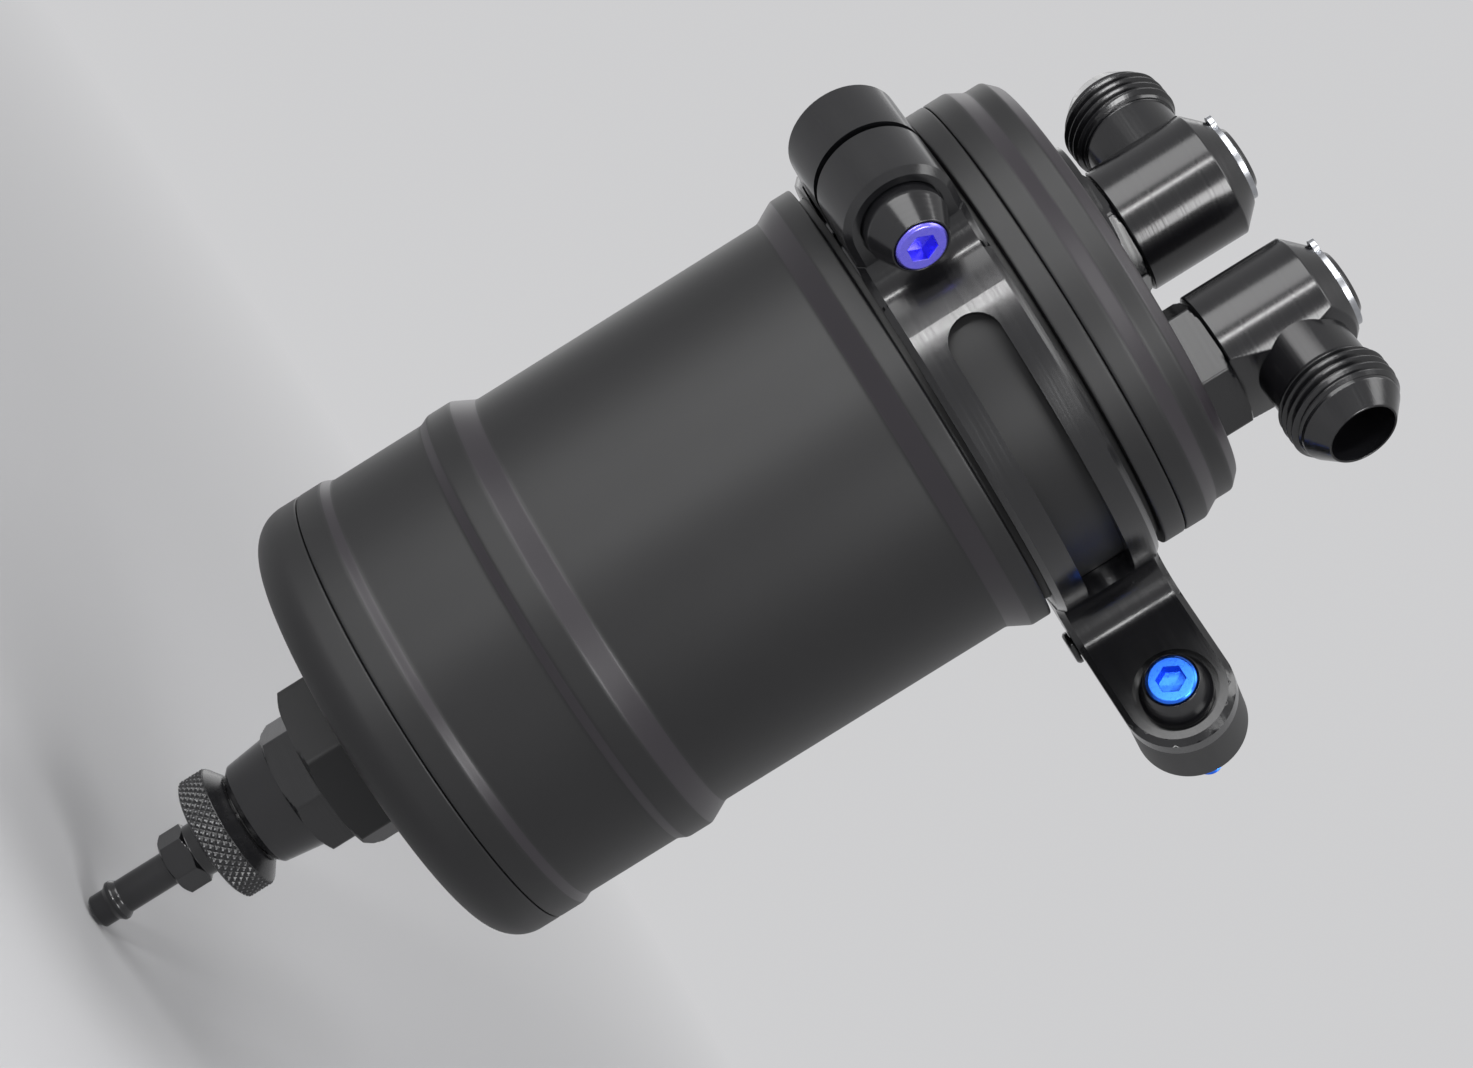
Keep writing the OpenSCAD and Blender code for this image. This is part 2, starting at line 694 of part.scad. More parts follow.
// Half of the clamp barrel: an arch on the band with a chamfered face and a hollow corner
module barrel_half_shape() {
    cut = barrel_cut;
    centre_y = barrel_face + barrel_fillet;
    centre_x = sqrt(pow(band_out + barrel_fillet, 2) - pow(centre_y, 2)) - barrel_x;
    touch = band_out / (band_out + barrel_fillet);
    depth = barrel_depth;
    at_barrel() {
        translate([0, barrel_split / 2, 0]) rotate([-90, 0, 0]) cylinder(r = barrel_r, h = barrel_half - cut);
        translate([0, barrel_face - cut, 0]) rotate([-90, 0, 0])
            cylinder(r1 = barrel_r, r2 = barrel_r - cut, h = cut);
        translate([-depth, barrel_split / 2, 0]) rotate([90, 0, 90]) linear_extrude(depth) polygon([
            [0, -barrel_r],
            [barrel_half - cut, -barrel_r],
            [barrel_half, cut - barrel_r],
            [barrel_half, barrel_r - cut],
            [barrel_half - cut, barrel_r],
            [0, barrel_r]]);
        difference() {
            linear_extrude(band_w, center = true) polygon([
                [centre_x, barrel_face - cut],
                [centre_x, centre_y],
                [(centre_x + barrel_x) * touch - barrel_x, centre_y * touch],
                [(centre_x + barrel_x) * touch * 0.97 - barrel_x, centre_y * touch * 0.97],
                [-depth, barrel_face - cut]]);
            translate([centre_x, centre_y, 0]) flared_cutter(barrel_fillet, band_w);
        }
    }
}

// The long slot round the front of the band, with half-round ends
module band_slot() {
    end_turn = asin(slot_w / 2 / band_out);
    reach = barrel_depth + band_t;
    rotate([0, 0, slot_from + end_turn]) rotate_extrude(angle = slot_to - slot_from - 2 * end_turn)
        translate([band_in - barrel_root, -slot_w / 2]) square([reach, slot_w]);
    for (turn = [slot_from + end_turn, slot_to - end_turn])
        rotate([0, 0, turn]) translate([band_in - barrel_root, 0, 0]) rotate([0, 90, 0])
            cylinder(r = slot_w / 2, h = reach);
}

// The front of the bracket: barrel half, slotted band, lug and the two outer hinge knuckles
module front_band() seated() color("#19191c") translate([0, 0, band_z]) {
    difference() {
        union() {
            band_arc(barrel_turn - 3, 360 + split_turn);
            barrel_half_shape();
            lug();
            for (side = [0, 1]) mirror([0, 0, side])
                translate([hinge_x, hinge_y, knuckle_half + hinge_gap])
                    cylinder(r = knuckle_r, h = knuckle_end - knuckle_half - hinge_gap);
        }
        cylinder(r = band_in, h = band_w * 2, center = true, $fn = 180);
        band_slot();
        // the gap between the halves of the barrel, and the end at the hinge
        barrel_side(-barrel_half);
        rotate([0, 0, split_turn]) translate([band_in - band_t, 0, -band_w])
            cube([hinge_rise - knuckle_r - edge + 2 * band_t, band_out / 2, band_w * 2]);
        // room for the rear half's knuckle, the hinge pin, the clamp screw and its washer
        translate([hinge_x, hinge_y, 0]) {
            cylinder(r = knuckle_r + knuckle_gap, h = (knuckle_half + hinge_gap) * 2, center = true);
            cylinder(r = hinge_r + pin_gap, h = band_w * 2, center = true);
        }
        at_barrel() rotate([-90, 0, 0]) cylinder(r = screw_r + screw_gap, h = barrel_face + 2);
        at_barrel() translate([0, barrel_face - clamp_pocket, 0]) rotate([-90, 0, 0])
            cylinder(r = clamp_washer_r + clamp_pocket_gap, h = clamp_pocket + clamp_cone_h);
    }
}

// The rear of the bracket: the other barrel half, plain band, the second lug and the middle knuckle
module rear_band() seated() color("#19191c") translate([0, 0, band_z]) {
    arm_r = band_out - arm_inset;
    difference() {
        union() {
            band_arc(rear_from, barrel_turn + 3);
            at_barrel_mirrored() barrel_half_shape();
            mirror([1, 0, 0]) lug();
            translate([hinge_x, hinge_y, 0]) cylinder(r = knuckle_r, h = knuckle_half * 2, center = true);
            linear_extrude(knuckle_half * 2, center = true) polygon([
                [hinge_x, hinge_y + knuckle_r],
                [arm_r * cos(hinge_turn + 22.3), arm_r * sin(hinge_turn + 22.3)],
                [arm_r * cos(rear_from + 1), arm_r * sin(rear_from + 1)],
                [hinge_x - knuckle_r * 0.91, hinge_y - knuckle_r * 0.26],
                [hinge_x, hinge_y]]);
        }
        cylinder(r = band_in, h = band_w * 2, center = true, $fn = 180);
        barrel_side(-barrel_split / 2);
        translate([hinge_x, hinge_y, 0]) cylinder(r = hinge_r + pin_gap, h = band_w * 2, center = true);
        at_barrel() translate([0, -barrel_face - 2, 0]) rotate([-90, 0, 0])
            cylinder(r = screw_r + pin_gap, h = barrel_face + 2);
    }
}

// Turns the near half of the barrel into the far one
module at_barrel_mirrored() {
    rotate([0, 0, barrel_turn]) mirror([0, 1, 0]) rotate([0, 0, -barrel_turn]) children();
}

// A pin with a flat head below; its upper end is flush with the hinge
module hinge_pin() seated() color("#19191c") translate([hinge_x, hinge_y, band_z]) {
    rim = 0.5;
    head_z = -lug_w / 2 - pin_gap - pin_head_h;
    cylinder(r = hinge_r, h = knuckle_end * 2, center = true);
    translate([0, 0, head_z]) cylinder(r1 = pin_head_r - rim, r2 = pin_head_r, h = rim);
    translate([0, 0, head_z + rim]) cylinder(r = pin_head_r, h = pin_head_h - rim);
    translate([0, 0, head_z + rim]) cylinder(r = hinge_r, h = pin_head_h);
}

// A socket screw along Z: the head's face is at zero, the plain shank and the thread point down
module socket_screw(length, plain) {
    rim = 0.5;
    tip = 0.6;
    socket_depth = 3;
    difference() {
        union() {
            translate([0, 0, -rim]) cylinder(r1 = screw_head_r, r2 = screw_head_r - rim, h = rim);
            translate([0, 0, -screw_head_h]) cylinder(r = screw_head_r, h = screw_head_h - rim);
            translate([0, 0, -screw_head_h - plain]) cylinder(r = screw_r, h = plain + rim);
            translate([0, 0, tip - screw_head_h - length]) cylinder(r = screw_thread_r, h = length);
            translate([0, 0, -screw_head_h - length])
                cylinder(r1 = screw_thread_r - tip, r2 = screw_thread_r, h = tip);
        }
        translate([0, 0, -socket_depth]) hexagon(socket_flats, socket_depth + 1, 0);
    }
}

// A cone washer along Z: its foot is at zero, with a straight collar and then the cone
module cone_washer(foot_r, tip_r, collar, rise) {
    difference() {
        union() {
            cylinder(r = foot_r, h = collar);
            translate([0, 0, collar]) cylinder(r1 = foot_r, r2 = tip_r, h = rise);
        }
        translate([0, 0, -1]) cylinder(r = screw_r + screw_gap, h = collar + rise + 2);
        translate([0, 0, collar + rise - screw_head_h + head_rise])
            cylinder(r = screw_head_r + 0.15, h = screw_head_h + 1);
    }
}

module clamp_screw() seated() color("#2f3ed6") translate([0, 0, band_z])
    at_barrel() translate([0, barrel_face + clamp_collar_h + clamp_cone_h + head_rise, 0])
        rotate([-90, 0, 0]) socket_screw(clamp_screw_l, clamp_plain_l);

module clamp_washer() seated() color("#19191c") translate([0, 0, band_z])
    at_barrel() translate([0, barrel_face - clamp_pocket, 0]) rotate([-90, 0, 0])
        cone_washer(clamp_washer_r, washer_tip_r, clamp_collar_h + clamp_pocket, clamp_cone_h);

module bracket_screws() seated() color("#2f3ed6") translate([0, 0, band_z]) {
    for (side = [-1, 1]) translate([side * lug_x, lug_y - washer_rise - head_rise, 0]) rotate([90, 0, 0])
        socket_screw(screw_l, screw_plain_l);
}

module bracket_washers() seated() color("#19191c") translate([0, 0, band_z]) {
    for (side = [-1, 1]) translate([side * lug_x, lug_y + pocket_depth, 0]) rotate([90, 0, 0])
        cone_washer(washer_base_r, washer_tip_r, pocket_depth, washer_rise);
}

module spacers() seated() color("#2b2b2d") translate([0, 0, band_z]) {
    rim = 0.5;
    for (side = [-1, 1]) translate([side * lug_x, lug_y + lug_t, 0]) rotate([-90, 0, 0]) difference() {
        union() {
            cylinder(r = spacer_r, h = spacer_l - rim);
            translate([0, 0, spacer_l - rim]) cylinder(r1 = spacer_r, r2 = spacer_r - rim, h = rim);
        }
        translate([0, 0, -1]) cylinder(r = screw_r + screw_gap, h = spacer_l + 2);
    }
}

// The large hexagon under the can: a threaded stub above, the valve's socket below
module drain_adapter() seated() color("#2b2b2d") {
    difference() {
        union() {
            translate([0, 0, adapter_z]) turned_hexagon(adapter_flats, adapter_h, 291, 2.0, true, false);
            translate([0, 0, -cap_h - eps]) cylinder(r = adapter_stub_r, h = cap_h - drain_cone - 0.5);
        }
        translate([0, 0, adapter_z - 1]) cylinder(r = valve_stub_r + stub_gap, h = valve_stub_h + 1.5);
        translate([0, 0, adapter_z]) cylinder(r = chamber_r, h = adapter_h - adapter_roof);
        translate([0, 0, adapter_z]) cylinder(r = 2.9, h = adapter_h + cap_h);
    }
}

module adapter_seal() seated() color("#101010") {
    room = adapter_seal_r + seal_gap;
    ring(adapter_stub_r + stub_gap + room, adapter_seal_r, -cap_h + room);
}

// The valve's body: threaded stub, hexagon, tapered barrel and the neck for the wheel
module valve_body() seated() color("#1b1b1f") {
    foot_chamfer = 1.2;
    collar_room = 2;
    difference() {
        union() {
            translate([0, 0, adapter_z]) cylinder(r = valve_stub_r, h = valve_stub_h);
            translate([0, 0, valve_z]) turned_hexagon(valve_flats, valve_hex_h, 313.5, 1.8, true, false);
            translate([0, 0, valve_foot_z]) rotate_extrude() polygon([
                [0, 0],
                [valve_foot_r - foot_chamfer, 0],
                [valve_foot_r, foot_chamfer],
                [valve_top_r, valve_barrel_h],
                [0, valve_barrel_h]]);
            translate([0, 0, valve_foot_z - wheel_neck_h]) cylinder(r = wheel_neck_r, h = wheel_neck_h + 1);
        }
        translate([0, 0, valve_foot_z - wheel_neck_h - 1])
            cylinder(r = bore_in_valve_r, h = wheel_neck_h + 1 + valve_barrel_h - collar_room);
        translate([0, 0, valve_foot_z]) cylinder(r = seat_r, h = valve_barrel_h + valve_hex_h + 1);
        translate([0, 0, seat_z]) cylinder(r = chamber_r, h = valve_hex_h + valve_stub_h + 2);
    }
}

module valve_poppet() seated() color("#c8a45a") {
    slope = 0.8;
    translate([0, 0, poppet_z]) cylinder(r1 = poppet_r - 0.5, r2 = poppet_r, h = slope);
    translate([0, 0, poppet_z + slope]) cylinder(r = poppet_r, h = poppet_h - slope);
    translate([0, 0, poppet_z + poppet_h - eps]) cylinder(r = 2.2, h = 1.6);
}

// Points of a wire's round section, carried along a helix
function spring_ring(i, n, h, sides) =
    let (a = i * 360 * spring_turns / n, z = h * i / n)
    [for (j = [0:sides - 1]) let (b = j * 360 / sides)
        [(spring_r + spring_wire_r * cos(b)) * cos(a),
         (spring_r + spring_wire_r * cos(b)) * sin(a),
         z + spring_wire_r * sin(b)]];

// The spring that closes the poppet, between its head and the adapter's shoulder
module valve_spring() seated() color("#c9ccd0") {
    sides = 6;
    n = spring_turns * 16;
    low = poppet_z + poppet_h + spring_wire_r + seal_gap;
    high = -cap_h - adapter_roof - spring_wire_r - seal_gap;
    pts = [for (i = [0:n]) each spring_ring(i, n, high - low, sides)];
    faces = [for (i = [0:n - 1]) for (j = [0:sides - 1])
        let (k = (j + 1) % sides)
        [i * sides + j, (i + 1) * sides + j, (i + 1) * sides + k, i * sides + k]];
    ends = [[for (j = [0:sides - 1]) j], [for (j = [0:sides - 1]) n * sides + sides - 1 - j]];
    translate([0, 0, low]) polyhedron(points = pts, faces = concat(faces, ends));
}

// The knurled wheel: it turns on the valve's neck and winds the outlet up and down
module drain_wheel() seated() color("#26262a") {
    counterbore = wheel_neck_h - wheel_gap + edge;
    translate([0, 0, wheel_bottom]) difference() {
        rotate_extrude() polygon([
            [0, 0],
            [wheel_r - 1.0, 0],
            [wheel_r, 0.8],
            [wheel_r, wheel_h - 2.4],
            [wheel_neck_r + 1.3, wheel_h],
            [0, wheel_h]]);
        translate([0, 0, -1]) cylinder(r = outlet_collar_r + valve_gap, h = wheel_h + 2);
        translate([0, 0, wheel_h - counterbore]) cylinder(r = wheel_neck_r + valve_gap, h = counterbore + 1);
    }
}

// The outlet: hose tube with its bead, hexagon, sliding collar and the rod under the poppet
module drain_outlet() seated() color("#1b1b1f") {
    bead_z = 3.4;
    difference() {
        union() {
            translate([0, 0, hose_tip_z]) rotate_extrude() polygon([
                [0, 0],
                [hose_r - 0.6, 0],
                [hose_r - 0.1, 0.5],
                [hose_r - 0.1, bead_z],
                [hose_r + 0.7, bead_z + 1.0],
                [hose_r + 0.7, bead_z + 1.8],
                [hose_r, bead_z + 2.8],
                [hose_r, hose_l + 1],
                [0, hose_l + 1]]);
            translate([0, 0, outlet_hex_z]) turned_hexagon(outlet_flats, outlet_hex_h, 324, 1.2, true, true);
            translate([0, 0, outlet_hex_top - 1])
                cylinder(r = outlet_collar_r, h = collar_top - outlet_hex_top + 1);
            translate([0, 0, collar_top - 1]) cylinder(r = stem_rod_r, h = poppet_z - collar_top + 1);
        }
        // the bore ends in the collar, where three slanting holes meet it
        translate([0, 0, hose_tip_z - 1]) cylinder(r = outlet_bore_r, h = collar_top - hose_tip_z - 1);
        for (a = [0, 120, 240])
            rotate([0, 0, a]) translate([0, 0, collar_top - 3]) rotate([0, 50, 0])
                cylinder(r = 0.9, h = 2 * outlet_collar_r);
    }
}

can_body();
bottom_cap();
cap_seal();
lid();
lid_seal();
baffle_plate();
mesh_pad();
drop_tube();
port_stem_a();
port_stem_b();
stem_seals();
post_seals();
elbow_a();
elbow_b();
circlip_a();
circlip_b();
port_plug();
front_band();
rear_band();
hinge_pin();
clamp_screw();
clamp_washer();
bracket_screws();
bracket_washers();
spacers();
drain_adapter();
adapter_seal();
valve_body();
valve_poppet();
valve_spring();
drain_wheel();
drain_outlet();
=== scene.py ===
from math import cos, pi, radians, sin, tan

import bmesh
import bpy
import numpy as np
from mathutils import Matrix, Vector


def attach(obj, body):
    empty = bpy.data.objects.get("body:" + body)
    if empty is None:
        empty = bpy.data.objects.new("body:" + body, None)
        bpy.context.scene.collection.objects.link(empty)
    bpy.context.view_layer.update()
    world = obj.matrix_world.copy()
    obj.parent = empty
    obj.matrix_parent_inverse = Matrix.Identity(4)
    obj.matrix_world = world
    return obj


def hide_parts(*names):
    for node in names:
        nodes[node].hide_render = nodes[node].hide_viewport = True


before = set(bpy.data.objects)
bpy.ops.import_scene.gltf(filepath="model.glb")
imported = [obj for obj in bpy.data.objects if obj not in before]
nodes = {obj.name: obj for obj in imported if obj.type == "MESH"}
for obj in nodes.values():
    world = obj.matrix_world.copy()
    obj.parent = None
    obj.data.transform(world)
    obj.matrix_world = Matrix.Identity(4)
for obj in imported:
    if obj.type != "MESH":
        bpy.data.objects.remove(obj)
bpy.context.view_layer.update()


# The can's tube. Aluminium bar, turned outside with four raised rings and a neck, bead
# blasted and anodised black. Every other piece is placed from its axis.
AXIS = np.array([0.0, -0.0525, 0.0])
SEAM = -0.1205
TUBE_LENGTH = 0.1374
UP = (0, 0, 1)


def rounded(corners, radius, steps=4):
    """The outline through the corners, each turned into a short arc: the arc is the
    quadratic curve from a point before the corner to one after it, pulled to the corner."""
    p = np.asarray(corners, float)
    before = p[:-2] - p[1:-1]
    after = p[2:] - p[1:-1]
    before_length = np.linalg.norm(before, axis=1, keepdims=True)
    after_length = np.linalg.norm(after, axis=1, keepdims=True)
    reach = np.minimum(radius, 0.45 * np.minimum(before_length, after_length))
    start = p[1:-1] + before / before_length * reach
    stop = p[1:-1] + after / after_length * reach
    t = np.linspace(0, 1, steps + 1)[None, :, None]
    arc = (1 - t) ** 2 * start[:, None] + 2 * t * (1 - t) * p[1:-1, None]
    arc = arc + t ** 2 * stop[:, None]
    shoulder = np.stack([start + (start - p[1:-1]) * 0.6, stop + (stop - p[1:-1]) * 0.6], 1)
    shoulder = np.where(reach[:, None] < 0.4 * radius, np.stack([start, stop], 1), shoulder)
    arc = np.concatenate([shoulder[:, :1], arc, shoulder[:, 1:]], 1)
    return np.concatenate([p[:1], arc.reshape(-1, 2), p[-1:]])


def turned(outline, sides=180, flats=0.0, corner=0.0):
    """Surface of revolution about Z: the point (r, z) of the outline goes to
    (r cos a, r sin a, z) for every angle a of a full turn in equal steps. With six flats,
    r is at most half the flats over the cosine of the angle to the nearest flat's middle,
    and that cosine is held up a little at the corners, which blunts them."""
    r, z = np.asarray(outline, float).T
    a = radians(corner) + np.linspace(0, 2 * pi, sides, endpoint=False)
    r = np.outer(r, np.ones(sides))
    if flats:
        off = (a - radians(corner)) % (pi / 3) - pi / 6
        blunt = 1.009 * cos(pi / 6)
        r = np.minimum(r, flats / 2 / np.maximum(np.cos(off), blunt))
    return np.stack([r * np.cos(a), r * np.sin(a), np.outer(z, np.ones(sides))], -1)


def stepped(outline, gap):
    """The outline with points added, so that none lie further apart than the gap."""
    p = np.asarray(outline, float)
    steps = np.ceil(np.linalg.norm(np.diff(p, axis=0), axis=1) / gap).astype(int)
    start = np.repeat(np.arange(len(steps)), steps)
    part = (np.arange(len(start)) - np.repeat(np.cumsum(steps) - steps, steps)) / steps[start]
    added = p[start] + (p[start + 1] - p[start]) * part[:, None]
    return np.concatenate([added, p[-1:]])


def placed(grid, origin, axis=UP, side=(1, 0, 0)):
    """The grid with its Z axis laid along axis and its X axis turned towards side."""
    w = np.array(axis, float)
    w = w / np.linalg.norm(w)
    u = np.array(side, float)
    u = u - w * (u @ w)
    u = u / np.linalg.norm(u)
    return grid @ np.array([u, np.cross(w, u), w]) + np.asarray(origin)


def woven(name, grids, crease=40):
    """A mesh of quads over each grid, whose columns close round the axis. Points that
    fall together, as at a pole, are merged, and faces are made to point outwards."""
    points, faces, count = [], [], 0
    for grid in grids:
        rows, columns = grid.shape[:2]
        index = np.arange(rows * columns).reshape(rows, columns) + count
        ahead = np.roll(index, -1, axis=1)
        faces.append(np.stack([index[:-1], ahead[:-1], ahead[1:], index[1:]], -1).reshape(-1, 4))
        points.append(grid.reshape(-1, 3))
        count += rows * columns
    mesh = bpy.data.meshes.new(name)
    mesh.from_pydata(np.concatenate(points), [], np.concatenate(faces).tolist())
    b = bmesh.new()
    b.from_mesh(mesh)
    bmesh.ops.remove_doubles(b, verts=b.verts, dist=1e-7)
    bmesh.ops.recalc_face_normals(b, faces=b.faces)
    b.to_mesh(mesh)
    b.free()
    return shaded(mesh, crease)


def shaded(mesh, crease):
    """Smooth shading, broken where two faces meet at more than the crease angle."""
    mesh.polygons.foreach_set("use_smooth", np.ones(len(mesh.polygons), bool))
    mesh.set_sharp_from_angle(angle=radians(crease))
    return mesh


def shown(mesh, finish, body, slot, *stands_for):
    """Puts the mesh in the scene as a piece that rides on body and stands for CAD nodes."""
    piece = bpy.data.objects.new(mesh.name, mesh)
    bpy.context.scene.collection.objects.link(piece)
    piece.data.materials.clear()
    piece.data.materials.append(finish)
    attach(piece, body)
    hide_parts(*stands_for)
    return piece


class Signal:
    """A shader socket with arithmetic: each operator adds one Math node."""

    def __init__(self, finish, socket):
        self.finish = finish
        self.socket = socket

    def math(self, operation, *values):
        settings = {"operation": operation}
        return self.finish.node("ShaderNodeMath", settings, dict(enumerate(values)))

    def __add__(self, other):
        return self.math("ADD", self, other)

    def __sub__(self, other):
        return self.math("SUBTRACT", self, other)

    def __rsub__(self, other):
        return self.math("SUBTRACT", other, self)

    def __mul__(self, other):
        return self.math("MULTIPLY", self, other)

    def __truediv__(self, other):
        return self.math("DIVIDE", self, other)

    def __rtruediv__(self, other):
        return self.math("DIVIDE", other, self)

    __radd__ = __add__
    __rmul__ = __mul__


class Finish:
    """A material. Constants are set on the shader's own sockets when it is made."""

    def __init__(self, name, **constants):
        self.material = bpy.data.materials.new(name)
        self.material.use_nodes = True
        self.tree = self.material.node_tree
        self.shader = self.tree.nodes["Principled BSDF"]
        for key, value in constants.items():
            self.shader.inputs[key.replace("_", " ")].default_value = value

    def node(self, kind, settings=None, sockets=None, output=0):
        """Adds a node: its settings are set first, then the values or links of its sockets."""
        made = self.tree.nodes.new(kind)
        for key, value in (settings or {}).items():
            setattr(made, key, value)
        for key, value in (sockets or {}).items():
            self.feed(made.inputs[key], value)
        return Signal(self, made.outputs[output])

    def feed(self, socket, value):
        if isinstance(value, Signal):
            self.tree.links.new(value.socket, socket)
        else:
            socket.default_value = value

    def vector(self, operation, first, second, output):
        """Arithmetic on two vectors. Its result is a vector or one value, as output names."""
        settings = {"operation": operation}
        return self.node("ShaderNodeVectorMath", settings, {0: first, 1: second}, output)

    def place(self):
        return self.node("ShaderNodeTexCoord", output="Object")

    def noise(self, place, scale, detail=2.0):
        sockets = {"Vector": place, "Scale": scale, "Detail": detail}
        return self.node("ShaderNodeTexNoise", None, sockets)

    def grain_along(self, place, direction, scale):
        """Fine lines across the direction: noise of one dimension on the length along it."""
        along = self.vector("DOT_PRODUCT", place, direction, "Value")
        sockets = {"W": along * scale, "Scale": 1.0, "Detail": 3.0}
        return self.node("ShaderNodeTexNoise", {"noise_dimensions": "1D"}, sockets)

    def blend(self, factor, low, high):
        """A colour between two colours."""
        sockets = {0: factor, 6: low, 7: high}
        return self.node("ShaderNodeMix", {"data_type": "RGBA"}, sockets, output=2)

    def wear(self, colour, rough=None, bump=None, strength=0.1, depth=1e-5):
        """Feeds the shader its colour and, where given, its roughness and bump."""
        self.feed(self.shader.inputs["Base Color"], colour)
        if rough is not None:
            self.feed(self.shader.inputs["Roughness"], rough)
        if bump is not None:
            sockets = {"Strength": strength, "Distance": depth, "Height": bump}
            normal = self.node("ShaderNodeBump", None, sockets)
            self.feed(self.shader.inputs["Normal"], normal)
        return self.material


def blasted_black(sheen_slopes):
    """Bead-blasted anodised aluminium: a fine dimpled grain and faint cloudy patches. The
    rings' slopes, given as (middle, half) heights, are smoother, and their colour is a lighter
    purple: a painted highlight, standing for the light that the slopes catch."""
    f = Finish("blasted_black", Specular_IOR_Level=0.42)
    place = f.place()
    height = f.node("ShaderNodeSeparateXYZ", None, {"Vector": place}, output="Z")
    # Mask of the rings' slopes, which get a lighter purple colour below: a painted highlight.
    slope = sum(height.math("COMPARE", height, SEAM + middle, half) for middle, half in sheen_slopes)
    grain = f.noise(place, 5200.0, 3.0)
    cloud = f.noise(place, 28.0, 3.0)
    plain = f.blend(cloud, (0.0055, 0.0055, 0.0061, 1), (0.0092, 0.0092, 0.0098, 1))
    colour = f.blend(slope, plain, (0.0170, 0.0145, 0.0180, 1))
    return f.wear(colour, 0.40 + 0.1 * cloud + 0.05 * grain - 0.08 * slope, grain, 0.3, 3e-5)


matt_black = blasted_black([
    (0.00615, 0.00085), (0.02765, 0.00085), (0.0358, 0.0021), (0.10185, 0.00205),
    (0.1436, 0.0015), (0.14985, 0.00105)])
can_wall = 0.0410
tube_outline = [
    (can_wall, 0.0), (0.0466, 0.0), (0.0466, 0.0052), (0.0457, 0.0071), (0.0457, 0.0267),
    (0.0466, 0.0286), (0.0466, 0.0336), (0.0443, 0.0380), (0.0443, 0.0997), (0.0466, 0.1040),
    (0.0466, 0.1082), (0.0438, 0.1082), (0.0438, 0.1328), (0.0465, 0.1328),
    (0.0465, TUBE_LENGTH), (can_wall, TUBE_LENGTH)]
tube_grid = placed(turned(rounded(tube_outline, 0.0005), 240), AXIS + (0, 0, SEAM))
shown(woven("can_tube", [tube_grid]), matt_black, "can", "matte_black", "can_body")


# The bottom cap and the lid. Both are turned from the same bar as the tube, screwed into
# its ends, blasted and anodised with it, so that only a thin seam shows at each joint.
quarter = np.linspace(-pi / 2, 0, 24)
cap_outline = [(0.0, -0.0117), (0.0150, -0.0117)]
cap_outline += [(0.0390 + 0.0076 * cos(a), -0.0041 + 0.0076 * sin(a)) for a in quarter]
cap_rim = rounded([(0.0466, -0.0041), (0.0466, -0.00012), (0.0380, -0.00012)], 0.00035)
cap_grid = np.concatenate([turned(cap_outline, 240), turned(cap_rim, 240)])
cap_grid = placed(cap_grid, AXIS + (0, 0, SEAM))
shown(woven("bottom_cap", [cap_grid]), matt_black, "can", "matte_black", "bottom_cap")
lid_outline = [
    (0.0380, 0.00012), (0.0465, 0.00012), (0.0465, 0.0046), (0.04465, 0.0078), (0.04465, 0.0113),
    (0.04235, 0.0136), (0.0, 0.0136)]
lid_grid = placed(turned(rounded(lid_outline, 0.0005), 240), AXIS + (0, 0, SEAM + TUBE_LENGTH))
shown(woven("lid", [lid_grid]), matt_black, "can", "matte_black", "lid")


# The ports' stems and the third port's plug. Each is turned from hexagon bar and polished
# before it is anodised, then screwed into the lid on a seal.
LID_TOP = SEAM + TUBE_LENGTH + 0.0136


def polished_black(name, marks, scale=1500.0):
    """Polished black anodising: a deep, glossy black with the tool's fine marks, which
    draw each reflection out into a streak."""
    f = Finish(name, Specular_IOR_Level=0.6)
    place = f.place()
    lines = f.grain_along(place, marks, scale)
    cloud = f.noise(place, 60.0, 2.0)
    colour = f.blend(cloud, (0.0040, 0.0040, 0.0048, 1), (0.0075, 0.0075, 0.0085, 1))
    return f.wear(colour, 0.10 + 0.14 * lines + 0.05 * cloud, lines, 1.0, 1.1e-5)


def edged(node, width, finish, slot):
    """Shows a merged copy of a CAD node's mesh. A narrow bevel rounds each edge where two
    faces meet at more than 35 degrees, and normals weighted by area keep the faces flat."""
    b = bmesh.new()
    b.from_mesh(nodes[node].data)
    bmesh.ops.remove_doubles(b, verts=b.verts, dist=2e-6)
    bmesh.ops.dissolve_limit(b, angle_limit=radians(0.3), verts=b.verts, edges=b.edges)
    mesh = bpy.data.meshes.new(node + "_piece")
    b.to_mesh(mesh)
    b.free()
    piece = shown(shaded(mesh, 30), finish, "can", slot, node)
    bevel = piece.modifiers.new("edges", "BEVEL")
    bevel.width = width
    bevel.segments = 2
    bevel.limit_method = "ANGLE"
    bevel.angle_limit = radians(35)
    bevel.use_clamp_overlap = True
    even = piece.modifiers.new("normals", "WEIGHTED_NORMAL")
    even.weight = 80
    even.keep_sharp = True


fitting_black = polished_black("fitting_black", (0.05, 0.05, 1.0))
PORT_RADIUS = 0.0228
stem_outline = stepped(rounded([
    (0.0, 0.0252), (0.0044, 0.0252), (0.0044, -0.0050), (0.00545, -0.0050),
    (0.00545, -0.0090), (0.0090, -0.0090), (0.0090, 0.0), (0.01407, 0.0), (0.01407, 0.00716),
    (0.01267, 0.0080), (0.0070, 0.0080), (0.0070, 0.0331), (0.0063, 0.0331), (0.0063, 0.0344),
    (0.0070, 0.0344), (0.0070, 0.0347), (0.0062, 0.0355), (0.0, 0.0355)], 0.00015), 0.0006)


def port(turn):
    """The middle of a port on the lid's face, at the given angle about the can's axis."""
    a = radians(turn)
    return AXIS + (PORT_RADIUS * cos(a), PORT_RADIUS * sin(a), LID_TOP)


